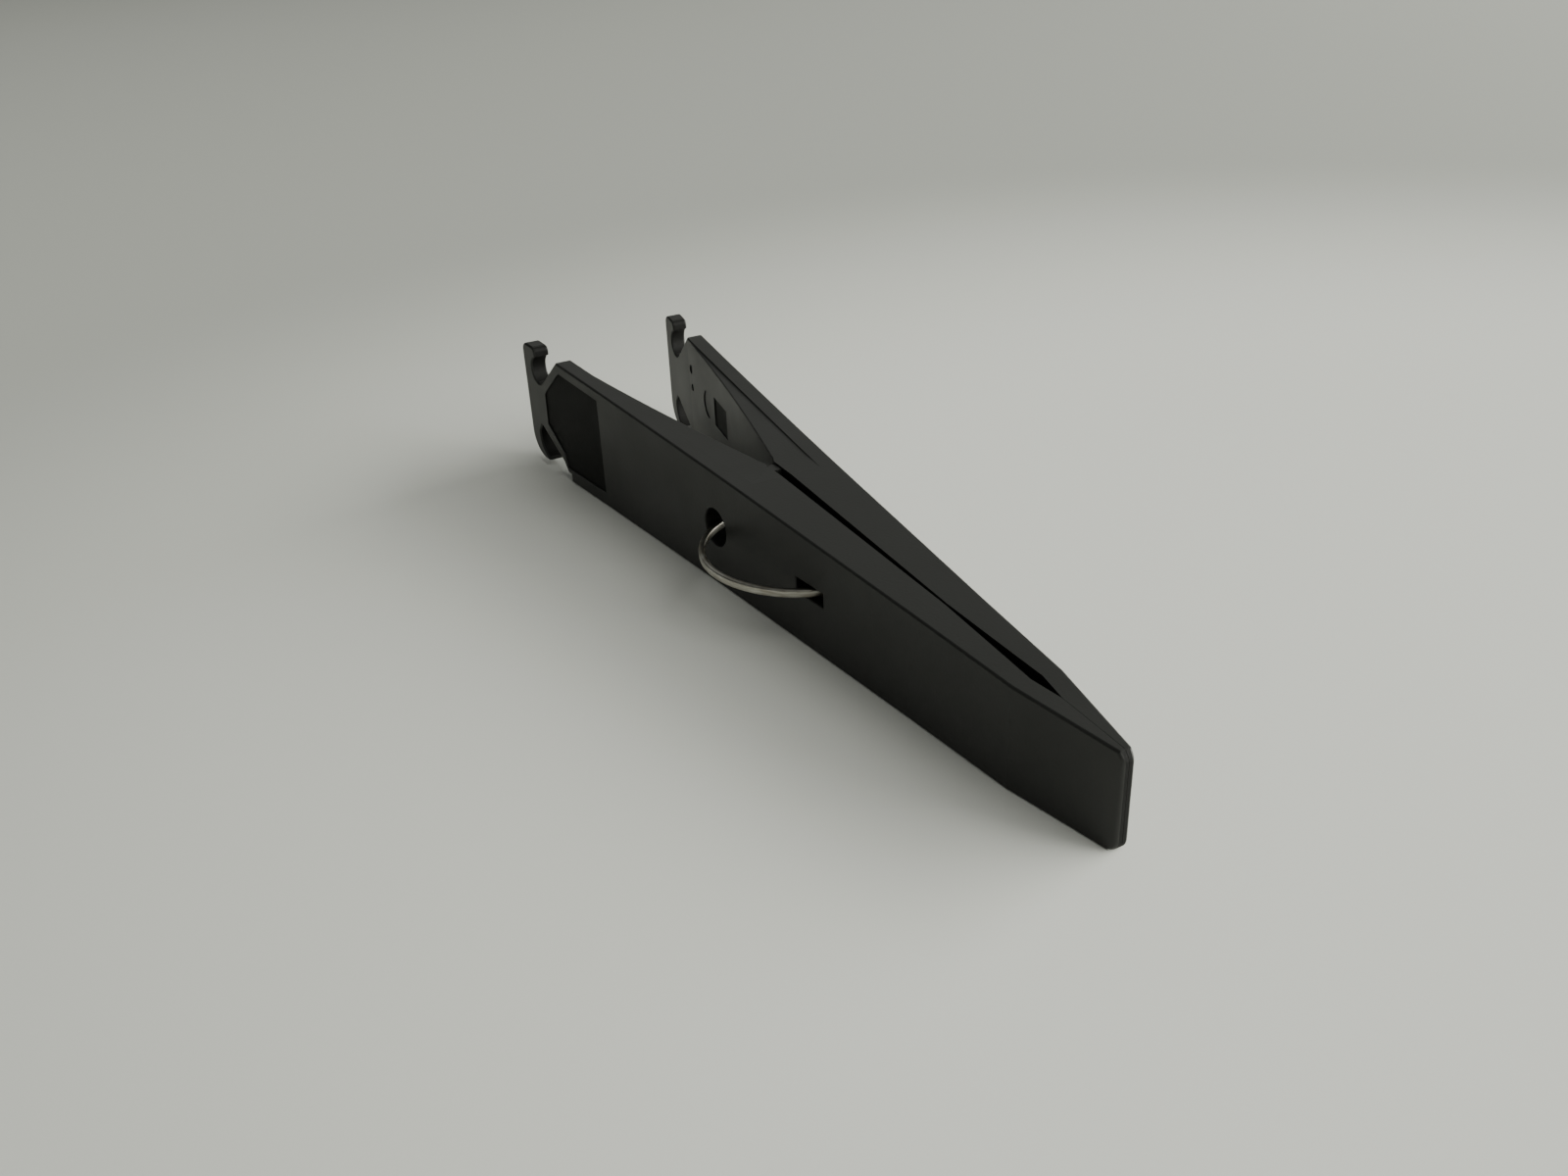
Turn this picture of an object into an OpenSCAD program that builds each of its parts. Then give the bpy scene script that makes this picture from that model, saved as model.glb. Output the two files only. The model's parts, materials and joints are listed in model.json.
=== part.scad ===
// Spring clip for hanging and handling strips of photographic film.
// Two moulded leaves lie on their long edges, rock on each other at a fulcrum,
// and a C-shaped ring spring of flat wire squeezes the jaw side shut.
// X runs from the hook end to the jaw tip, Y across the clip, Z up from the table.
// "Station" below means the distance along X from the hook end.

/* [Leaves] */
// Length of each leaf from its hook end to its jaw tip
leaf_len = 130.5; // [104:0.5:160]
// Height of a leaf at the hook end
hook_end_h = 20.3; // [18:0.1:24]
// Height of a leaf at the jaw tip
tip_h = 11.6; // [9:0.1:14]
// Thickness of the outer plate that runs the whole length of a leaf
plate_t = 2.5; // [2:0.1:3]
// Step down from the plate's long edges to the thicker body behind it
edge_step = 0.3; // [0.1:0.1:0.6]
// Width across both leaves at the hook end
hook_end_w = 27.7; // [24:0.1:33]
// Width across both leaves where the jaws begin to bend in
bend_w = 6.4; // [5.4:0.1:7.6]
// Width across both leaves at the jaw tip
tip_w = 1.4; // [1.2:0.1:2]
// Hollow of each long outer face at its middle
face_bow = 0.5; // [0:0.1:0.8]
// Fullness of the handle's inner face, as a share of its rise
handle_belly = 0.23; // [0:0.01:0.3]
// Radius of the two corners at the jaw tip
tip_corner_r = 1.4; // [0.5:0.1:2]

/* [Fulcrum and jaws] */
// Station of the fulcrum
pivot_at = 60.5; // [54:0.5:66]
// Radius of the fulcrum rib on the far leaf
rib_r = 1; // [0.8:0.05:1.2]
// Running clearance between the rib and its groove
rib_clear = 0.05; // [0.02:0.01:0.1]
// Gap between the leaves just past the fulcrum
pivot_gap = 1.3; // [1.2:0.1:1.6]
// Length of the bent-in jaws
jaw_len = 14; // [12:0.5:17]
// Length over which the closed jaws touch
grip_len = 10; // [8:0.5:11]
// Gap between the leaves at the widest part of the pocket behind the grip
pocket_gap = 1.4; // [0.8:0.1:1.6]
// Gap left between the closed jaw faces
grip_clear = 0.04; // [0.02:0.01:0.1]

/* [Hook end] */
// Width of the upright bar at the hook end
bar_w = 2.7; // [2.2:0.1:3.2]
// Radius of the seat of the hanging notch
notch_r = 2.15; // [2.1:0.05:2.6]
// Depth of the centre of the notch's seat below the top edge
notch_drop = 3.5; // [3.2:0.1:4]
// Reach of the lip that guards the notch
lip_reach = 1.6; // [1:0.1:1.9]
// Radius of the top corner of the upright bar
head_r = 1.3; // [0.6:0.1:1.3]
// Radius of the lip's upper corner
lip_r = 0.8; // [0.4:0.1:0.9]
// Slope of the long side of the notch, in degrees
notch_slope = 39; // [35:1:45]
// Outer radius of the claw under the bar
claw_r = 4.2; // [3.8:0.1:4.6]
// Station where the thick body begins
body_at = 11.4; // [10.6:0.1:12.5]

/* [Thumb recess] */
// Depth of the flat recess in each outer face
recess_depth = 0.2; // [0.1:0.05:0.6]
// Width of the rim round the recess
recess_rim = 1.6; // [1.2:0.1:2]
// Station of the straight end of the recess
recess_end = 25.3; // [22:0.1:32]

/* [Ring spring] */
// Outer diameter of the ring
ring_d = 27.5; // [26:0.1:29]
// Thickness of the flat wire, across the ring's radius
wire_t = 0.8; // [0.6:0.05:1]
// Width of the flat wire, up and down
wire_w = 1.1; // [1:0.1:2]
// Distance of the ring's centre past the fulcrum, towards the jaws
ring_ahead = 7.7; // [7:0.1:8]
// Height of the middle of the wire above the table
ring_z = 7.7; // [7.4:0.1:8.6]
// Diameter of the hole that the wire leaves each leaf by
wire_hole_d = 5.3; // [4.6:0.1:5.6]
// Height of that hole's centre above the middle of the wire
hole_rise = 0.7; // [0:0.1:1]
// Length of the pocket that takes each end of the wire
end_pocket_len = 5.8; // [4.6:0.1:6.2]
// Clearance above and below the wire in that pocket
end_pocket_clear = 0.45; // [0.25:0.05:0.6]
// Height of the pocket's middle above the middle of the wire
end_pocket_rise = 0.2; // [0:0.05:0.2]
// Depth of that pocket below the outer face
end_pocket_depth = 2.9; // [2.2:0.1:3.2]
// Clearance round the wire inside a leaf
wire_clear = 0.25; // [0.15:0.05:0.35]

/* [Hidden] */
$fn = 64;

mid = leaf_len / 2;             // station of the origin
bend_at = leaf_len - jaw_len;
grip_at = leaf_len - grip_len;
top_slope = atan((hook_end_h - tip_h) / leaf_len);
seat_half = 1.2;                // half the flat land each side of the rib
handle_foot = pivot_at - 2.7;   // station where the handle's inner face runs out
foot_gap = 2.1;                 // gap between the leaves at that station
waist_at = grip_at - 20;        // station of the narrowest gap ahead of the fulcrum
waist_gap = 0.3;
pocket_end = 4;                 // from the pocket's widest part to the grip
pocket_taper = 0.15;            // narrowing of each side as far again behind it
over = 1;                       // how far a cut runs past a face
ring_r = ring_d / 2 - wire_t / 2;
ring_at = pivot_at + ring_ahead;

// Top edge of a leaf at a station.
function top_z(s) = hook_end_h - (hook_end_h - tip_h) * s / leaf_len;

// Distance of a leaf's outer face from the middle plane.
function outer_y(s) =
    s > bend_at
    ? (bend_w + (tip_w - bend_w) * (s - bend_at) / jaw_len) / 2
    : (hook_end_w + (bend_w - hook_end_w) * s / bend_at) / 2
      - face_bow * 4 * s * (bend_at - s) / pow(bend_at, 2);

// Distance of the handle's inner face from the middle plane: full, not straight.
function handle_y(s) =
    let (t = (handle_foot - s) / (handle_foot - body_at),
         rise = outer_y(body_at) - plate_t - foot_gap / 2)
    foot_gap / 2 + rise * (t + handle_belly * t * (1 - t));

// Inner face ahead of the fulcrum, as corners of half the gap.
JAW_SIDE = [
    [handle_foot, foot_gap / 2],
    [pivot_at - seat_half, pivot_gap / 2],
    [pivot_at + 3 * seat_half, pivot_gap / 2],
    [waist_at, waist_gap / 2],
    [grip_at - 2 * pocket_end, pocket_gap / 2 - pocket_taper],
    [grip_at - pocket_end, pocket_gap / 2],
    [grip_at, grip_clear / 2],
    [leaf_len, grip_clear / 2]
];

// Distance of a leaf's inner face from the middle plane.
function inner_y(s) =
    s <= body_at ? outer_y(s) - plate_t
    : s < handle_foot ? handle_y(s)
    : lookup(s, JAW_SIDE);

// Back of the outer plate, which ends where the leaf is no thicker than it.
function plate_y(s) = max(outer_y(s) - plate_t, inner_y(s));

// Stations at which the plan of a leaf turns.
HANDLE_STEPS = 12;
STATIONS = concat(
    [0, body_at / 2, body_at],
    [for (k = [1 : HANDLE_STEPS - 1]) body_at + (handle_foot - body_at) * k / HANDLE_STEPS],
    [for (p = JAW_SIDE) if (p[0] <= waist_at) p[0]],
    [for (p = JAW_SIDE) if (p[0] > waist_at && p[0] < bend_at) p[0]],
    [bend_at],
    [for (p = JAW_SIDE) if (p[0] > bend_at) p[0]]
);
LAST = len(STATIONS) - 1;

// Points of an arc about a centre.
function arc(c, r, from, to, steps = 10) =
    [for (k = [0 : steps]) let (a = from + (to - from) * k / steps)
        [c[0] + r * cos(a), c[1] + r * sin(a)]];

// Station where the middle of the wire crosses the outer face; side is -1 or 1.
function wire_at(side, s, tries = 12) =
    tries == 0 ? s
    : wire_at(side, ring_at + side * sqrt(pow(ring_r, 2) - pow(outer_y(s), 2)), tries - 1);
hole_lead = 0.7;                // hole and pocket lie a little ahead of the wire
pocket_lead = 0.3;
hole_at = wire_at(-1, pivot_at) + hole_lead;
pocket_at = wire_at(1, ring_at + ring_r) + pocket_lead;
pocket_floor_y = outer_y(pocket_at) - end_pocket_depth;
end_angle = asin((pocket_floor_y + wire_t) / ring_r);

// Seat of the hanging notch and where its long side leaves it.
lip_under = 0.9;                // height of the lip's underside, as a share of the seat's radius
notch_run = 12;                 // how far the long side is cut, past the top edge
notch_c = [bar_w + notch_r, top_z(bar_w + notch_r) - notch_drop];
notch_foot = [
    notch_c[0] + notch_r * sin(notch_slope),
    notch_c[1] - notch_r * cos(notch_slope)
];
lip_c = [bar_w + lip_reach - lip_r, top_z(bar_w + lip_reach) - lip_r];

// Claw below the bar, and the long side of the gap beside it.
claw_lift = 1.2;                // the claw's lowest point above the table
claw_c = [claw_r, claw_r + claw_lift];
claw_gap_c = [claw_r, claw_r] + [2.1, 0.9];
claw_gap_r = claw_r - 0.7;      // radius of the gap's side next to the bar
claw_gap_turn = [250, 170];     // where that round side begins and ends, in degrees
claw_gap_mouth = 1;             // start of the gap's mouth, past the claw's radius
// Upper corners of the gap, from the centre of its round side
CLAW_GAP_TOP = [[-2.6, 1.9], [-1.9, 1.8]];
heel = [body_at - 0.5, 2.9];    // corner of the body beside the claw
heel_step = 0.4;                // the body's own corner lies this much higher
sole_at = heel[0] + 2.2;        // station where the body's lower edge begins

// Corners of the thumb recess.
recess_turn = 0.6;              // how far its corners are cut back
recess_foot = 1.4;              // its lower corner, past the heel
recess_nose = [0.7, 2.9];       // its corner by the bar: back from the notch, up from the claw gap
recess_nick = [0.2, 0.5];       // its cut under the notch: up the slope, and back from it

// Marks left by the mould on each inner face.
mark_depth = 0.15;
pin_marks = [[12.7, 14.3, 0.7], [12.9, 11.3, 0.6], [21.6, 11.3, 2.2]];
panel_from = [25.6, 9.2];
panel_size = [7, 4.6];

// A flat shape in X and Z, drawn through the whole leaf along Y.
module through() {
    rotate([90, 0, 0])
        linear_extrude(height = hook_end_w)
            children();
}

// A band of a leaf in plan, between two rows of distances from the middle plane.
module plan(outer, inner, height) {
    linear_extrude(height = height)
        polygon(concat(
            [for (k = [0 : LAST]) [STATIONS[k], -outer[k]]],
            [for (k = [LAST : -1 : 0]) [STATIONS[k], -inner[k]]]
        ));
}

// Side outline of a leaf before the hook end is cut.
module leaf_side() {
    r = tip_corner_r;
    s = leaf_len - r;
    h = head_r;
    polygon(concat(
        arc(claw_c, claw_r, 180, 270),
        [[sole_at, claw_c[1] - claw_r], [sole_at, 0]],
        arc([s, r], r, 270, 360),
        arc([s, top_z(s) - r / cos(top_slope)], r, 0, 90 - top_slope),
        arc([h, top_z(h) - h / cos(top_slope)], h, 90 - top_slope, 180)
    ));
}

// Open notch under the lip.
module notch_side() {
    translate(notch_c) circle(r = notch_r);
    polygon(concat(
        [
            notch_c,
            notch_foot,
            notch_foot + notch_run * [cos(notch_slope), sin(notch_slope)],
            [lip_c[0], hook_end_h + over]
        ],
        arc(lip_c, lip_r, 90, 0),
        [[lip_c[0] + lip_r, notch_c[1] + notch_r * lip_under]]
    ));
}

// Gap between the claw and the body, open to the table.
module claw_gap_side() {
    polygon(concat(
        arc(claw_gap_c, claw_gap_r, claw_gap_turn[0], claw_gap_turn[1]),
        [for (c = CLAW_GAP_TOP) claw_gap_c + c],
        [heel, [sole_at, 0], [sole_at, -over], [claw_r + claw_gap_mouth, -over]]
    ));
}

// Outline of the thumb recess: it keeps a rim inside the leaf's own outline.
module recess_side() {
    drop = recess_rim / cos(top_slope);
    edge = notch_foot + recess_rim * [sin(notch_slope), -cos(notch_slope)];
    slope_end = body_at + recess_turn;
    top_start = slope_end + recess_turn;
    sill = recess_rim + recess_turn;
    polygon([
        edge + recess_nick[0] * [cos(notch_slope), sin(notch_slope)],
        edge + (slope_end - edge[0]) * [1, tan(notch_slope)],
        [top_start, top_z(top_start) - drop],
        [recess_end, top_z(recess_end) - drop],
        [recess_end, sill],
        [heel[0] + recess_foot, sill],
        heel + [recess_turn, recess_rim],
        [edge[0] - recess_nose[0], claw_gap_c[1] + recess_nose[1]],
        [edge[0] - recess_nick[1], edge[1] - recess_turn]
    ]);
}

// Ejector-pin marks and a blank panel, sunk into the handle's inner face.
module marks_side() {
    for (m = pin_marks) translate([m[0], m[1]]) circle(r = m[2]);
    translate(panel_from) square(panel_size);
}

// One leaf on the near side, with nothing yet at its fulcrum.
module leaf() {
    outer = [for (s = STATIONS) outer_y(s)];
    plate = [for (s = STATIONS) plate_y(s)];
    inner = [for (s = STATIONS) inner_y(s)];
    floor_y = [for (s = STATIONS) outer_y(s) - recess_depth];
    outside = [for (s = STATIONS) outer_y(s) + over];
    sunk = [for (s = STATIONS) inner_y(s) + mark_depth];
    inside = [for (s = STATIONS) inner_y(s) - mark_depth];
    difference() {
        union() {
            intersection() {
                plan(outer, plate, hook_end_h);
                through() difference() {
                    leaf_side();
                    notch_side();
                    claw_gap_side();
                }
            }
            intersection() {
                plan(plate, inner, hook_end_h);
                through() body_side();
            }
        }
        intersection() {
            plan(outside, floor_y, hook_end_h);
            through() recess_side();
        }
        intersection() {
            plan(sunk, inside, hook_end_h);
            through() marks_side();
        }
        wire_passage();
    }
}

// Side outline of the thick body behind the plate, a step inside its long edges.
// The upper step runs out at the waist.
module body_side() {
    polygon([
        [body_at, heel[1] + heel_step],
        [sole_at + heel_step / 2, edge_step],
        [leaf_len, edge_step],
        [leaf_len, top_z(leaf_len)],
        [waist_at, top_z(waist_at)],
        [body_at, top_z(body_at) - edge_step]
    ]);
}

// Everything that is cut from a leaf for the wire.
module wire_passage() {
    reach = wire_t / 2 + wire_clear;
    height = wire_w + 2 * wire_clear;
    groove_turn = [150, 240];   // from across the middle plane to past the hole
    translate([hole_at, over, ring_z + hole_rise])
        rotate([90, 0, 0])
            cylinder(d = wire_hole_d, h = hook_end_w);
    translate([ring_at, 0, ring_z])
        rotate([0, 0, groove_turn[0]])
            rotate_extrude(angle = groove_turn[1] - groove_turn[0])
                translate([ring_r, 0])
                    square([2 * reach, height], center = true);
    pocket_h = wire_w + 2 * end_pocket_clear;
    translate([pocket_at - end_pocket_len / 2, -hook_end_w / 2, ring_z + end_pocket_rise - pocket_h / 2])
        cube([end_pocket_len, hook_end_w / 2 - pocket_floor_y, pocket_h]);
}

// Height of the rib at the fulcrum, just inside the body's long edges.
module fulcrum_post(r) {
    translate([pivot_at, 0, edge_step])
        cylinder(r = r, h = top_z(pivot_at + rib_r) - 2 * edge_step);
}

module near_leaf() {
    color([0.17, 0.175, 0.17])
        translate([-mid, 0, 0])
            difference() {
                leaf();
                translate([0, 0, -over]) fulcrum_post(rib_r + rib_clear);
                translate([0, 0, over]) fulcrum_post(rib_r + rib_clear);
            }
}

module far_leaf() {
    color([0.15, 0.155, 0.15])
        translate([-mid, 0, 0])
            mirror([0, 1, 0])
                difference() {
                    union() {
                        leaf();
                        fulcrum_post(rib_r);
                        translate([pivot_at - rib_r, -pivot_gap, edge_step])
                            cube([2 * rib_r, pivot_gap, top_z(pivot_at + rib_r) - 2 * edge_step]);
                    }
                    wire_passage();
                }
}

module ring_spring() {
    color([0.75, 0.74, 0.7])
        translate([ring_at - mid, 0, ring_z])
            rotate([0, 0, end_angle])
                rotate_extrude(angle = 360 - 2 * end_angle)
                    translate([ring_r, 0])
                        intersection() {
                            circle(d = wire_w);
                            square([wire_t, wire_w], center = true);
                        }
}

near_leaf();
far_leaf();
ring_spring();
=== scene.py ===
import json
import math

import bpy
import bmesh
from mathutils import Matrix, Vector


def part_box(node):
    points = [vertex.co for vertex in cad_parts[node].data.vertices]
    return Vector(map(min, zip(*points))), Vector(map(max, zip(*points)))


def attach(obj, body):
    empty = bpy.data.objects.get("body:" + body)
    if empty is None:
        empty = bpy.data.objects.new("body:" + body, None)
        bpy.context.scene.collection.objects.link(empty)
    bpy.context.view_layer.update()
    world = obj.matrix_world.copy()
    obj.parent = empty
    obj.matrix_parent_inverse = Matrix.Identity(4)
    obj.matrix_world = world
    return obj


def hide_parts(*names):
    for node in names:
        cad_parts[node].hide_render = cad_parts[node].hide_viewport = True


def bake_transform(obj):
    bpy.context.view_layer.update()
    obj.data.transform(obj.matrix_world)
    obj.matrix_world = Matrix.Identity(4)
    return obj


# %% [markdown]
# # A film clip, finished around its CAD model
#
# The clip hangs and handles strips of film. It has three real pieces: two long leaves of dark
# moulded plastic, and a C-shaped ring of flat steel wire that squeezes their jaws together.
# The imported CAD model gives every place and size, so the first step loads it and notes its box.

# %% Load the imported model
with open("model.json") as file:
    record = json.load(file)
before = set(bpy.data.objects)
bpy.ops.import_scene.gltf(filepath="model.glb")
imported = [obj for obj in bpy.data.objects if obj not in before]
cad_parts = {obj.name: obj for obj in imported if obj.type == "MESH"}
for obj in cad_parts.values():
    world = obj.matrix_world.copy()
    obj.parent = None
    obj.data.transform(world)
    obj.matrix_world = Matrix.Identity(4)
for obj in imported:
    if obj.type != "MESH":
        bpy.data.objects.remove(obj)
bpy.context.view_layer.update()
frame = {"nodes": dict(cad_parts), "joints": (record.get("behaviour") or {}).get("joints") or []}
hook_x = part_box("near_leaf")[0].x
tip_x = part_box("near_leaf")[1].x

# %% [markdown]
# ## Camera
#
# A camera in Blender looks along its own -Z axis with +Y up, so its matrix holds three columns:
# its right, its up and the reverse of its view. They are worked out here from a compass angle,
# a tilt and a small roll, which is easier to read and to change than three Euler angles.

# %% Camera
VIEW_FROM = Vector((0.1434, -0.0749, 0.0843))
VIEW_TURN, VIEW_TILT, VIEW_ROLL = (math.radians(a) for a in (62.98, 27.47, -2.66))
LENS_MM, SENSOR_MM = 31.23, 36.0

forward = Vector((-math.sin(VIEW_TURN) * math.cos(VIEW_TILT),
                  math.cos(VIEW_TURN) * math.cos(VIEW_TILT),
                  -math.sin(VIEW_TILT)))
level_right = Vector((math.cos(VIEW_TURN), math.sin(VIEW_TURN), 0.0))
level_up = level_right.cross(forward)
right = math.cos(VIEW_ROLL) * level_right + math.sin(VIEW_ROLL) * level_up
up = math.cos(VIEW_ROLL) * level_up - math.sin(VIEW_ROLL) * level_right

camera_data = bpy.data.cameras.new("camera")
camera_data.lens, camera_data.sensor_width = LENS_MM, SENSOR_MM
camera_data.clip_start, camera_data.clip_end = 0.005, 10.0
camera = bpy.data.objects.new("camera", camera_data)
camera.matrix_world = Matrix((
    (right.x, up.x, -forward.x, VIEW_FROM.x),
    (right.y, up.y, -forward.y, VIEW_FROM.y),
    (right.z, up.z, -forward.z, VIEW_FROM.z),
    (0.0, 0.0, 0.0, 1.0),
))
bpy.context.scene.collection.objects.link(camera)
bpy.context.scene.camera = camera
print("camera looks along", [round(v, 3) for v in forward])

# %% [markdown]
# ## Floor and light
#
# The clip lies on a plain pale sheet, lit from one side by a wide window that starts at table
# height, with a smaller panel above it and a weak far wall opposite the camera. Large lamps give
# soft shadow edges, as a real window does. The room itself is nearly dark at table height and dim
# above it, so rounded edges that look along the table stay dark, and the far wall's light shows
# as a soft sheen on the faces that look up. The sheet's tone is painted darker away from the clip:
# a painted falloff of the light, brightest round the clip.

# %% Floor
FLOOR_SIZE = 6.0
# The far tone is painted shade: the sheet is painted darker away from the clip, as a painted
# falloff of the light.
FLOOR_TONE, FAR_FLOOR_PAINTED_SHADE = (0.82, 0.83, 0.785, 1.0), (0.45, 0.46, 0.43, 1.0)
PAINTED_POOL_CENTRE, PAINTED_FALLOFF_START, PAINTED_FALLOFF_END = (0.06, 0.09, 0.0), 0.10, 0.30
PAPER_ROUGHNESS, PAPER_SHEEN = 0.75, 0.2


def new_material(name):
    """A fresh material with its node list and its Principled shader."""
    material = bpy.data.materials.new(name)
    material.use_nodes = True
    nodes = material.node_tree.nodes
    return material, nodes, material.node_tree.links, nodes["Principled BSDF"]


paper, paper_nodes, paper_links, paper_shader = new_material("floor_paper")
on_floor = paper_nodes.new("ShaderNodeTexCoord")
spread = paper_nodes.new("ShaderNodeVectorMath")
spread.operation = "DISTANCE"
spread.inputs[1].default_value = PAINTED_POOL_CENTRE
# Painted light: this blends the sheet from its bright tone round the clip to painted shade further
# away.
painted_falloff = paper_nodes.new("ShaderNodeMapRange")
painted_falloff.interpolation_type = "SMOOTHSTEP"
painted_falloff.inputs["From Min"].default_value, painted_falloff.inputs["From Max"].default_value = PAINTED_FALLOFF_START, PAINTED_FALLOFF_END
tone = paper_nodes.new("ShaderNodeMix")
tone.data_type = "RGBA"
tone.inputs["A"].default_value, tone.inputs["B"].default_value = FLOOR_TONE, FAR_FLOOR_PAINTED_SHADE
paper_links.new(on_floor.outputs["Object"], spread.inputs[0])
paper_links.new(spread.outputs["Value"], painted_falloff.inputs["Value"])
paper_links.new(painted_falloff.outputs["Result"], tone.inputs["Factor"])
paper_links.new(tone.outputs["Result"], paper_shader.inputs["Base Color"])
paper_shader.inputs["Roughness"].default_value = PAPER_ROUGHNESS
paper_shader.inputs["Specular IOR Level"].default_value = PAPER_SHEEN

half = FLOOR_SIZE / 2
floor_mesh = bpy.data.meshes.new("floor")
floor_mesh.from_pydata([(-half, -half, 0), (half, -half, 0), (half, half, 0), (-half, half, 0)],
                       [], [(0, 1, 2, 3)])
floor_mesh.materials.append(paper)
floor = bpy.data.objects.new("floor", floor_mesh)
bpy.context.scene.collection.objects.link(floor)
print("floor:", FLOOR_SIZE, "m square")

# %% Lights
LIGHT_COLOUR, ROOM_COLOUR = (0.99, 1.0, 0.93), (0.93, 0.95, 0.92, 1.0)
WALL_LIGHT, CEILING_LIGHT = 0.02, 0.14
WALL_TOP, CEILING_START = 0.2, 0.5


def soft_light(name, turn, rise, away, width, height, power):
    """An area lamp that faces the clip, placed by compass angle, height angle and distance."""
    data = bpy.data.lights.new(name, "AREA")
    data.shape, data.size, data.size_y, data.energy = "RECTANGLE", width, height, power
    data.color = LIGHT_COLOUR
    turn, rise = math.radians(turn), math.radians(rise)
    lamp = bpy.data.objects.new(name, data)
    lamp.location = (away * math.cos(rise) * math.cos(turn),
                     away * math.cos(rise) * math.sin(turn), away * math.sin(rise))
    lamp.rotation_euler = (-lamp.location).to_track_quat("-Z", "Y").to_euler()
    bpy.context.scene.collection.objects.link(lamp)
    print(name, "at", [round(v, 2) for v in lamp.location], "m")


soft_light("window", 66, 18, 3.2, 4.6, 2.0, 255.0)
soft_light("panel", 22, 44, 3.0, 2.4, 2.4, 50.0)
soft_light("far_wall", 155, 28, 3.0, 3.2, 2.0, 6.0)
world = bpy.data.worlds.new("room")
world.use_nodes = True
sky_nodes, sky_links = world.node_tree.nodes, world.node_tree.links
direction = sky_nodes.new("ShaderNodeTexCoord")
upward = sky_nodes.new("ShaderNodeSeparateXYZ")
room_light = sky_nodes.new("ShaderNodeMapRange")
room_light.interpolation_type = "SMOOTHSTEP"
room_light.inputs["From Min"].default_value = WALL_TOP
room_light.inputs["From Max"].default_value = CEILING_START
room_light.inputs["To Min"].default_value = WALL_LIGHT
room_light.inputs["To Max"].default_value = CEILING_LIGHT
sky_links.new(direction.outputs["Generated"], upward.inputs["Vector"])
sky_links.new(upward.outputs["Z"], room_light.inputs["Value"])
sky_links.new(room_light.outputs["Result"], sky_nodes["Background"].inputs["Strength"])
sky_nodes["Background"].inputs["Color"].default_value = ROOM_COLOUR
bpy.context.scene.world = world
print("room light, low and high:", WALL_LIGHT, CEILING_LIGHT)

# %% [markdown]
# ## Plastic
#
# The leaves are moulded in black plastic with a satin, finely eroded skin. Such a skin takes
# most of its grey from what it reflects, so the colour itself is nearly black and the roughness
# does the work. A fine noise makes the grain, and a broad one makes the slow changes of gloss
# that a mould leaves as its plastic cools.

# %% Plastic
GRAIN_SCALE, GRAIN_DETAIL, GRAIN_DEPTH = 2600.0, 3.0, 0.00003
CLOUD_SCALE, CLOUD_DETAIL, CLOUD_LOW, CLOUD_HIGH = 55.0, 5.0, 0.35, 0.65


def satin_plastic(name, dark, light, gloss_low, gloss_high, grain, sheen):
    """Black moulded plastic: two near-black tones, a range of roughness, grain and reflectance."""
    material, nodes, links, shader = new_material(name)
    where = nodes.new("ShaderNodeTexCoord")
    cloud = nodes.new("ShaderNodeTexNoise")
    cloud.inputs["Scale"].default_value = CLOUD_SCALE
    cloud.inputs["Detail"].default_value = CLOUD_DETAIL
    fine = nodes.new("ShaderNodeTexNoise")
    fine.inputs["Scale"].default_value = GRAIN_SCALE
    fine.inputs["Detail"].default_value = GRAIN_DETAIL
    tones = nodes.new("ShaderNodeMix")
    tones.data_type = "RGBA"
    tones.inputs["A"].default_value, tones.inputs["B"].default_value = (*dark, 1), (*light, 1)
    gloss = nodes.new("ShaderNodeMapRange")
    gloss.inputs["From Min"].default_value = CLOUD_LOW
    gloss.inputs["From Max"].default_value = CLOUD_HIGH
    gloss.inputs["To Min"].default_value = gloss_low
    gloss.inputs["To Max"].default_value = gloss_high
    bump = nodes.new("ShaderNodeBump")
    bump.inputs["Strength"].default_value = grain
    bump.inputs["Distance"].default_value = GRAIN_DEPTH
    shader.inputs["Specular IOR Level"].default_value = sheen
    links.new(where.outputs["Object"], cloud.inputs["Vector"])
    links.new(where.outputs["Object"], fine.inputs["Vector"])
    links.new(cloud.outputs["Fac"], tones.inputs["Factor"])
    links.new(cloud.outputs["Fac"], gloss.inputs["Value"])
    links.new(tones.outputs["Result"], shader.inputs["Base Color"])
    links.new(gloss.outputs["Result"], shader.inputs["Roughness"])
    links.new(fine.outputs["Fac"], bump.inputs["Height"])
    links.new(bump.outputs["Normal"], shader.inputs["Normal"])
    return material


plastic = satin_plastic("moulded_plastic", dark=(0.008, 0.0085, 0.0075),
                        light=(0.013, 0.0135, 0.012), gloss_low=0.42, gloss_high=0.52,
                        grain=0.4, sheen=0.48)
# Darker, flatter plastic: dull on the recess and marks, painted shade in the openings and on the
# jaw's end.
dull_and_shade_plastic = satin_plastic("dull_and_shade_plastic", dark=(0.005, 0.005, 0.0045),
                             light=(0.008, 0.008, 0.0075), gloss_low=0.6, gloss_high=0.7,
                             grain=0.8, sheen=0.16)
print("plastics:", plastic.name, dull_and_shade_plastic.name)

# %% [markdown]
# ## Leaves
#
# The edges of a moulding are rounded a little, as the tool that cuts its mould leaves them, and
# those thin rounds are what catch or lose the light. The CAD model has sharp edges, so the rounds
# are made on a copy of each leaf. Where they go is worked out from the shape of a leaf: how far
# out its outer face lies and how high its top edge is, at any distance from the hook end.

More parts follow.
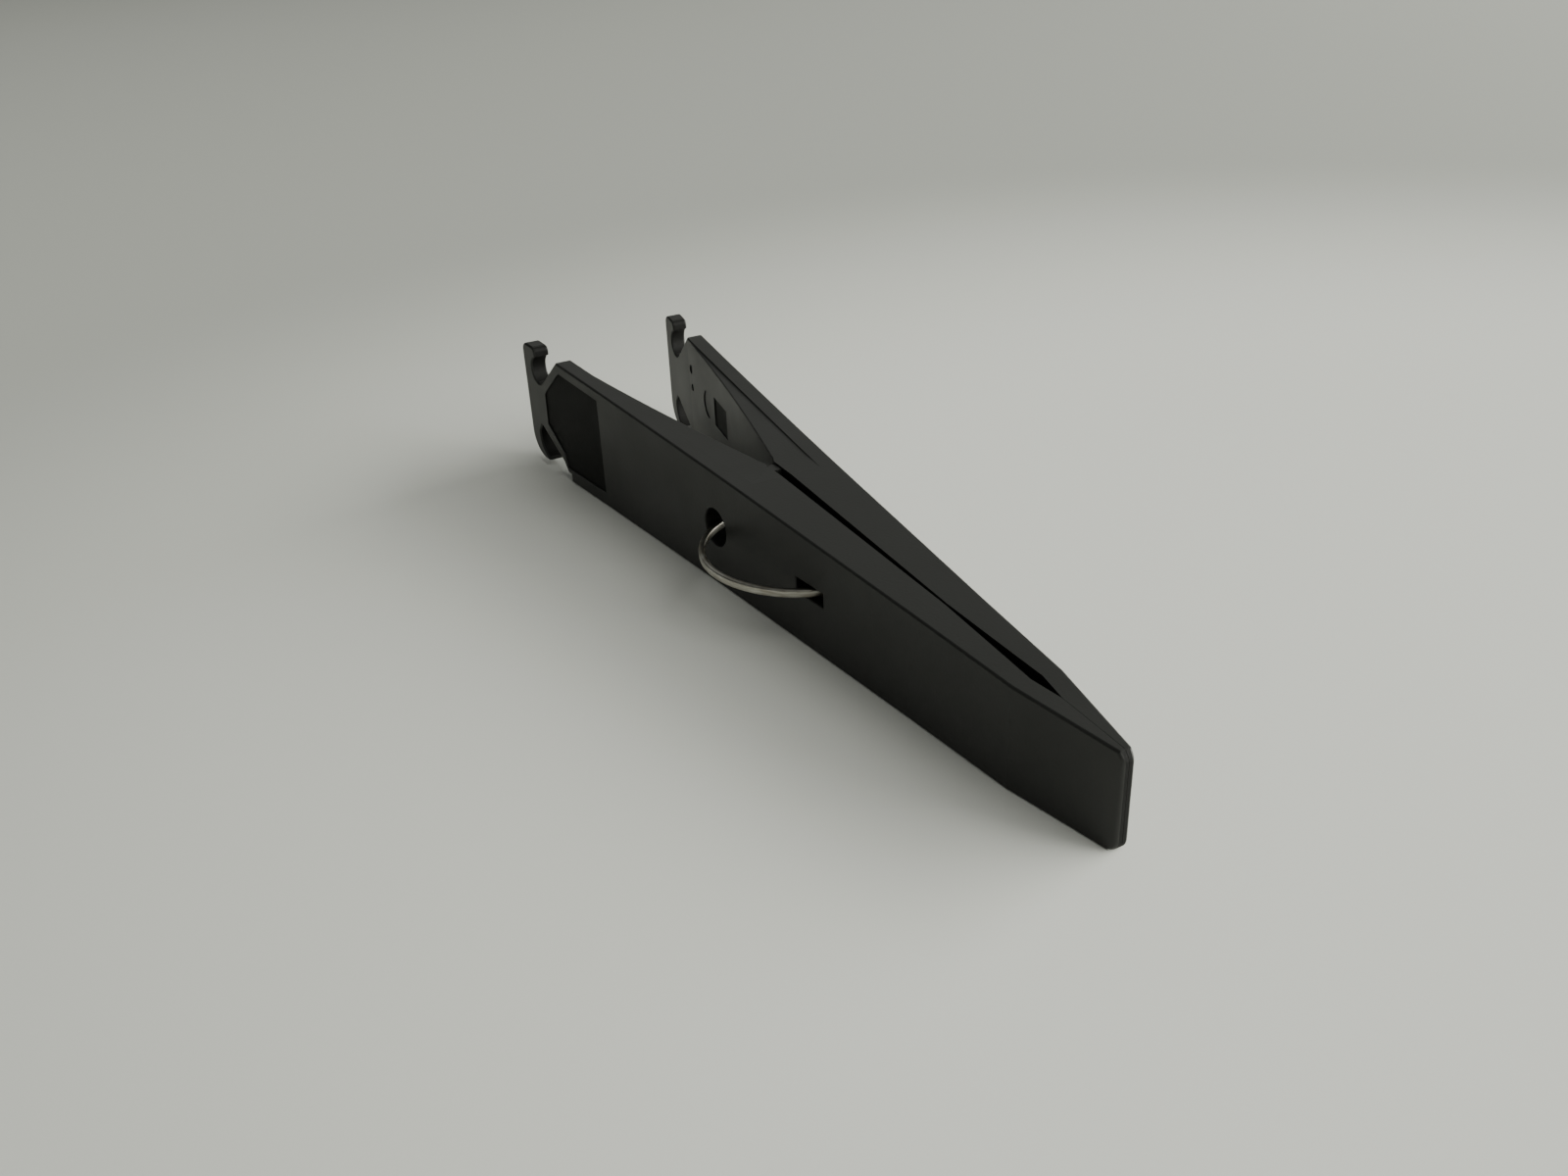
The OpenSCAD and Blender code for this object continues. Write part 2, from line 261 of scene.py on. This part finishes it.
# %% Leaves
MM = 0.001
HOOK_END_W, BEND_W, TIP_W, FACE_BOW, JAW_LEN = 27.7 * MM, 6.4 * MM, 1.4 * MM, 0.5 * MM, 14 * MM
PLATE_T, RECESS_DEPTH, BODY_AT, BAR_W = 2.5 * MM, 0.2 * MM, 11.4 * MM, 2.7 * MM
HOOK_END_H, TIP_H, TIP_CORNER = 20.3 * MM, 11.6 * MM, 1.4 * MM
LEAF_LEN = tip_x - hook_x
BEND_AT = LEAF_LEN - JAW_LEN
PIVOT_AT = frame["joints"][0]["pos_m"][0] - hook_x


def station(point):
    """Distance of a point from the hook end."""
    return point.x - hook_x


def outer_y(at):
    """Distance of a leaf's outer face from the middle plane, as in the CAD model."""
    if at > BEND_AT:
        return (BEND_W + (TIP_W - BEND_W) * (at - BEND_AT) / JAW_LEN) / 2
    straight = (HOOK_END_W + (BEND_W - HOOK_END_W) * at / BEND_AT) / 2
    return straight - FACE_BOW * 4 * at * (BEND_AT - at) / BEND_AT ** 2


def top_z(at):
    """Height of a leaf's top edge, as in the CAD model."""
    return HOOK_END_H - (HOOK_END_H - TIP_H) * at / LEAF_LEN


def depth(point):
    """How far a point lies under the outer face of its leaf."""
    return outer_y(station(point)) - abs(point.y)


def face_depths(face):
    """The least and greatest depth among a face's corners."""
    depths = [depth(vert.co) for vert in face.verts]
    return min(depths), max(depths)


print("leaf length, mm:", round(LEAF_LEN / MM, 2), "fulcrum at", round(PIVOT_AT / MM, 2))

# %% [markdown]
# Which edge gets which round is decided from where its two faces lie. An edge of the outer face
# belongs to the outline, unless its other face is only as deep as the thumb recess, or it is one
# of the openings for the wire. An edge of the inner face is rounded on the plate by the hook and
# along the wedge behind the fulcrum. The edges of the small marks, of the fulcrum and of the jaws
# inside stay sharp. Depths that differ by less than LEVEL count as the same.

# %% Width of each round
OUTLINE_ROUND, WEDGE_ROUND, BACK_ROUND = 0.27 * MM, 0.16 * MM, 0.22 * MM
RECESS_ROUND, HOLE_ROUND = 0.09 * MM, 0.16 * MM
SHARP_TURN, FACES_OUT, LEVEL = math.radians(24), 0.9, 0.03 * MM
OPENINGS_AT, OPENINGS_Z = (30 * MM, BEND_AT - 6 * MM), (1 * MM, 12.4 * MM)
MARKS_Z, FULCRUM_HALF = (4 * MM, 14.6 * MM), 2.6 * MM


def within(value, bounds):
    """Whether a value lies between two bounds."""
    return bounds[0] < value < bounds[1]


def round_width(edge, side):
    """The width of an edge's round in metres, or 0 where it stays sharp."""
    if len(edge.link_faces) != 2 or not edge.is_convex:
        return 0.0
    if edge.calc_face_angle(0) < SHARP_TURN:
        return 0.0
    one, two = sorted(edge.link_faces, key=lambda face: face.normal.y * side)
    middle = (edge.verts[0].co + edge.verts[1].co) / 2
    at, z = station(middle), middle.z
    if two.normal.y * side > FACES_OUT and depth(middle) < LEVEL:
        if face_depths(one)[1] < RECESS_DEPTH + LEVEL:
            return RECESS_ROUND
        on_opening = within(at, OPENINGS_AT) and within(z, OPENINGS_Z)
        return HOLE_ROUND if on_opening else OUTLINE_ROUND
    if one.normal.y * side < -FACES_OUT:
        if abs(face_depths(one)[1] - PLATE_T) < LEVEL:
            return BACK_ROUND if at < BODY_AT else 0.0
        on_mark = at > BODY_AT and within(z, MARKS_Z)
        return WEDGE_ROUND if at < PIVOT_AT - FULCRUM_HALF and not on_mark else 0.0
    return 0.0


# %% [markdown]
# The mould was polished on its broad faces only. The floor of the thumb recess, the sunk panel
# and the two small pin marks were left dull. The jaw's end and the walls of the notch and of the
# claw's gap get the same darker plastic as painted shade, where little light reaches them.
# All of these get the second, flatter plastic and read darker than the faces round them.
# The large round mark is as smooth as the face that it is sunk in.

# %% Which faces are dull or painted in shade
MARKS_AT, ROUND_MARK_AT = (12 * MM, 34 * MM), (18.6 * MM, 24.6 * MM)
NOTCH_AT, NOTCH_LOW = (BAR_W, BODY_AT + 2 * MM), 10 * MM
GAP_AT, GAP_Z = (BAR_W / 2, BODY_AT), (1.6 * MM, 9 * MM)
LOOKS_UP, LOOKS_AHEAD = 0.93, 0.5


def is_dull_or_painted_shade(face, side):
    """Whether a face is dull (a recess or a mark) or gets painted shade (the wall of an opening,
    the jaw's end).
    """
    middle = face.calc_center_median()
    at, out = station(middle), face.normal.y * side
    if out > FACES_OUT:
        return all(abs(deep - RECESS_DEPTH) < LEVEL for deep in face_depths(face))
    if out < -FACES_OUT:
        turns = [edge.is_convex for edge in face.edges if edge.calc_face_angle(0) > SHARP_TURN]
        return within(at, MARKS_AT) and not within(at, ROUND_MARK_AT) and not any(turns)
    # Painted shade: the walls of the notch and of the claw's gap and the jaw's end get the darker
    # plastic.
    in_notch = within(at, NOTCH_AT) and middle.z > NOTCH_LOW and face.normal.z < LOOKS_UP
    in_gap = within(at, GAP_AT) and within(middle.z, GAP_Z)
    on_tip = at > LEAF_LEN - TIP_CORNER and face.normal.x > LOOKS_AHEAD
    return in_notch or in_gap or on_tip


# %% [markdown]
# The copy is cleaned of its doubled corners, and its flat triangles are joined up. Ahead of the
# fulcrum the step below the top edge has thinned to a sliver that only shades badly, so the copy
# is made level there. Each edge then gets the width of its own round as a weight, and one Bevel
# modifier that reads those weights rounds them all at once. Weighted normals keep the broad
# faces flat beside their rounds.

# %% Make the leaves
FLAT_TURN, MERGE = math.radians(0.04), 0.002 * MM
STEP_END, STEP_MOST = 62 * MM, 0.2 * MM
BEVEL_STEPS = 3


def clean_copy(node):
    """A bmesh of a CAD node, cleaned: no doubles, no sliver step, flat triangles joined."""
    bm = bmesh.new()
    bm.from_mesh(frame["nodes"][node].data)
    for vert in bm.verts:
        step = top_z(station(vert.co)) - vert.co.z
        if station(vert.co) > STEP_END and step < STEP_MOST:
            vert.co.z += step
    bmesh.ops.remove_doubles(bm, verts=bm.verts, dist=MERGE)
    bmesh.ops.dissolve_limit(bm, angle_limit=FLAT_TURN, verts=bm.verts, edges=bm.edges)
    return bm


def finished_leaf(node, name, side):
    """A leaf with rounded edges; side is -1 for the near leaf and 1 for the far one."""
    bm = clean_copy(node)
    weights = bm.edges.layers.float.new("bevel_weight_edge")
    tally = {}
    for edge in bm.edges:
        width = round_width(edge, side)
        edge[weights] = width / OUTLINE_ROUND
        label = round(width / MM, 2)
        tally[label] = tally.get(label, 0) + 1
    for face in bm.faces:
        # Index 1 is the darker plastic: dull on the recess and marks, painted shade in the
        # openings and on the jaw's end.
        face.material_index = int(is_dull_or_painted_shade(face, side))
    mesh = bpy.data.meshes.new(name + "_draft")
    bm.to_mesh(mesh)
    bm.free()
    mesh.materials.append(plastic)
    mesh.materials.append(dull_and_shade_plastic)
    for polygon in mesh.polygons:
        polygon.use_smooth = True
    mesh.set_sharp_from_angle(angle=SHARP_TURN)
    draft = bpy.data.objects.new(name + "_draft", mesh)
    bpy.context.scene.collection.objects.link(draft)
    rounds = draft.modifiers.new("rounds", "BEVEL")
    rounds.limit_method = "WEIGHT"
    rounds.width, rounds.segments = OUTLINE_ROUND, BEVEL_STEPS
    rounds.use_clamp_overlap = False
    rounds.material = 0
    rounds.miter_outer = "MITER_ARC"
    flats = draft.modifiers.new("keep_flats_flat", "WEIGHTED_NORMAL")
    flats.keep_sharp = True
    final = bpy.data.meshes.new_from_object(
        draft.evaluated_get(bpy.context.evaluated_depsgraph_get()))
    bpy.data.objects.remove(draft)
    final.name = name
    leaf = bpy.data.objects.new(name, final)
    bpy.context.scene.collection.objects.link(leaf)
    print(name, "edges by width of round, mm:", tally, "->", len(final.polygons), "faces")
    return leaf


for node, body, side in (("near_leaf", "near_side", -1), ("far_leaf", "far_side", 1)):
    leaf = finished_leaf(node, node + "_moulding", side)
    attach(leaf, body)
    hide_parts(node)

# %% [markdown]
# ## Spring steel
#
# The ring is drawn wire, rolled flat, so its skin carries fine lines along its length. Those
# lines follow the wire round its bend, so the pattern can't read plain object coordinates: it
# reads two attributes that the ring's own mesh carries, the distance along the wire and the
# place around its section. Stretched noise on them gives the lines and a little yellowing.

# %% Spring steel
STEEL_DARK, STEEL_LIGHT = (0.30, 0.28, 0.235, 1), (0.50, 0.49, 0.45, 1)
STAIN_LOW, STAIN_HIGH = 0.35, 0.68
STEEL_GLOSS_LOW, STEEL_GLOSS_HIGH = 0.26, 0.46
LINE_STRENGTH, LINE_DEPTH = 0.35, 0.00002
steel, steel_nodes, steel_links, steel_shader = new_material("spring_steel")


def read_attribute(name):
    """The value of a mesh attribute, as a node output."""
    node = steel_nodes.new("ShaderNodeAttribute")
    node.attribute_name = name
    return node.outputs["Fac"]


on_wire = steel_nodes.new("ShaderNodeCombineXYZ")
steel_links.new(read_attribute("along"), on_wire.inputs["X"])
steel_links.new(read_attribute("around"), on_wire.inputs["Y"])


def wire_noise(along, around, detail):
    """Noise with its own scale along and around the wire."""
    stretch = steel_nodes.new("ShaderNodeMapping")
    stretch.inputs["Scale"].default_value = (along, around, 1.0)
    noise = steel_nodes.new("ShaderNodeTexNoise")
    noise.inputs["Scale"].default_value = 1.0
    noise.inputs["Detail"].default_value = detail
    steel_links.new(on_wire.outputs["Vector"], stretch.inputs["Vector"])
    steel_links.new(stretch.outputs["Vector"], noise.inputs["Vector"])
    return noise.outputs["Fac"]


draw_lines = wire_noise(along=220.0, around=26.0, detail=4.0)
stain = wire_noise(along=400.0, around=2.0, detail=2.0)
metal_tone = steel_nodes.new("ShaderNodeValToRGB")
dark_end, light_end = metal_tone.color_ramp.elements
dark_end.position, dark_end.color = STAIN_LOW, STEEL_DARK
light_end.position, light_end.color = STAIN_HIGH, STEEL_LIGHT
metal_gloss = steel_nodes.new("ShaderNodeMapRange")
metal_gloss.inputs["To Min"].default_value = STEEL_GLOSS_LOW
metal_gloss.inputs["To Max"].default_value = STEEL_GLOSS_HIGH
line_bump = steel_nodes.new("ShaderNodeBump")
line_bump.inputs["Strength"].default_value = LINE_STRENGTH
line_bump.inputs["Distance"].default_value = LINE_DEPTH
steel_links.new(stain, metal_tone.inputs["Fac"])
steel_links.new(metal_tone.outputs["Color"], steel_shader.inputs["Base Color"])
steel_links.new(draw_lines, metal_gloss.inputs["Value"])
steel_links.new(metal_gloss.outputs["Result"], steel_shader.inputs["Roughness"])
steel_links.new(draw_lines, line_bump.inputs["Height"])
steel_links.new(line_bump.outputs["Normal"], steel_shader.inputs["Normal"])
steel_shader.inputs["Metallic"].default_value = 1.0
print("steel nodes:", len(steel_nodes))

# %% [markdown]
# ## Ring spring
#
# The ring is a section swept along an arc, which is what Curve to Mesh in Geometry Nodes does:
# the arc gives the path, a filleted rectangle the flat wire's section. The arc's size, height
# and opening are read back from the CAD ring, so the new ring lies exactly in its place, and
# the two attributes for the steel are stored on the two curves before they are joined.

# %% Measures of the ring
WIRE_T, WIRE_CORNER = 0.8 * MM, 0.26 * MM
low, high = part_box("ring_spring")
ring_radius = high.y - WIRE_T / 2
ring_centre = Vector((low.x + high.y, 0.0, (low.z + high.z) / 2))
wire_width = high.z - low.z
end_angle = math.acos((high.x - ring_centre.x) / high.y)
print("ring radius, mm:", round(ring_radius / MM, 2), "ends at", round(math.degrees(end_angle), 1))

# %% Sweep a flat wire
ARC_STEPS, CORNER_STEPS = 160, 4


def swept_wire_tree():
    """A node tree that sweeps a flat wire's section along an arc."""
    tree = bpy.data.node_groups.new("swept_wire", "GeometryNodeTree")
    tree.interface.new_socket("Geometry", in_out="OUTPUT", socket_type="NodeSocketGeometry")
    for name in ("Radius", "Thickness", "Width", "Corner", "Start", "Sweep"):
        tree.interface.new_socket(name, in_out="INPUT", socket_type="NodeSocketFloat")
    tree.interface.new_socket("Centre", in_out="INPUT", socket_type="NodeSocketVector")
    tree.interface.new_socket("Steel", in_out="INPUT", socket_type="NodeSocketMaterial")
    nodes, link = tree.nodes, tree.links.new
    given = nodes.new("NodeGroupInput").outputs
    result = nodes.new("NodeGroupOutput")
    path = nodes.new("GeometryNodeCurveArc")
    path.inputs["Resolution"].default_value = ARC_STEPS
    for socket, name in (("Radius", "Radius"), ("Start Angle", "Start"), ("Sweep Angle", "Sweep")):
        link(given[name], path.inputs[socket])
    section = nodes.new("GeometryNodeCurvePrimitiveQuadrilateral")
    link(given["Thickness"], section.inputs["Width"])
    link(given["Width"], section.inputs["Height"])
    soften = nodes.new("GeometryNodeFilletCurve")
    soften.mode = "POLY"
    soften.inputs["Count"].default_value = CORNER_STEPS
    link(section.outputs["Curve"], soften.inputs["Curve"])
    link(given["Corner"], soften.inputs["Radius"])
    stored = []
    for curve, name, measure in ((path.outputs["Curve"], "along", "Length"),
                                 (soften.outputs["Curve"], "around", "Factor")):
        here = nodes.new("GeometryNodeSplineParameter")
        store = nodes.new("GeometryNodeStoreNamedAttribute")
        store.inputs["Name"].default_value = name
        link(curve, store.inputs["Geometry"])
        link(here.outputs[measure], store.inputs["Value"])
        stored.append(store.outputs["Geometry"])
    sweep = nodes.new("GeometryNodeCurveToMesh")
    sweep.inputs["Fill Caps"].default_value = True
    link(stored[0], sweep.inputs["Curve"])
    link(stored[1], sweep.inputs["Profile Curve"])
    put = nodes.new("GeometryNodeTransform")
    link(sweep.outputs["Mesh"], put.inputs["Geometry"])
    link(given["Centre"], put.inputs["Translation"])
    real = nodes.new("GeometryNodeRealizeInstances")
    link(put.outputs["Geometry"], real.inputs["Geometry"])
    paint = nodes.new("GeometryNodeSetMaterial")
    link(real.outputs["Geometry"], paint.inputs["Geometry"])
    link(given["Steel"], paint.inputs["Material"])
    link(paint.outputs["Geometry"], result.inputs["Geometry"])
    return tree


wire_tree = swept_wire_tree()
print("sweep tree:", len(wire_tree.nodes), "nodes")

# %% Make the ring
RING_SHARP = math.radians(50)


def made_by(tree, name, values):
    """A plain mesh object from a node tree and its named inputs."""
    draft = bpy.data.objects.new(name + "_draft", bpy.data.meshes.new(name + "_draft"))
    bpy.context.scene.collection.objects.link(draft)
    modifier = draft.modifiers.new("shape", "NODES")
    modifier.node_group = tree
    sockets = {item.name: item.identifier for item in tree.interface.items_tree
               if item.item_type == "SOCKET" and item.in_out == "INPUT"}
    for key, value in values.items():
        modifier[sockets[key]] = value
    mesh = bpy.data.meshes.new_from_object(
        draft.evaluated_get(bpy.context.evaluated_depsgraph_get()))
    bpy.data.objects.remove(draft)
    mesh.name = name
    made = bpy.data.objects.new(name, mesh)
    bpy.context.scene.collection.objects.link(made)
    return made


ring = made_by(wire_tree, "ring_spring_wire", {
    "Radius": ring_radius, "Thickness": WIRE_T, "Width": wire_width, "Corner": WIRE_CORNER,
    "Start": end_angle, "Sweep": 2 * (math.pi - end_angle), "Centre": ring_centre, "Steel": steel})
for polygon in ring.data.polygons:
    polygon.use_smooth = True
ring.data.set_sharp_from_angle(angle=RING_SHARP)
zs = [v.co.z for v in ring.data.vertices]
print("ring:", len(ring.data.polygons), "faces, section height",
      round((max(zs) - min(zs)) / MM, 2), "mm")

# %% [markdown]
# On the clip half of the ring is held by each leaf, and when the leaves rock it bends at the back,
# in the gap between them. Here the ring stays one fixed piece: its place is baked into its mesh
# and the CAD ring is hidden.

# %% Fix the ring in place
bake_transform(ring)
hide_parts("ring_spring")
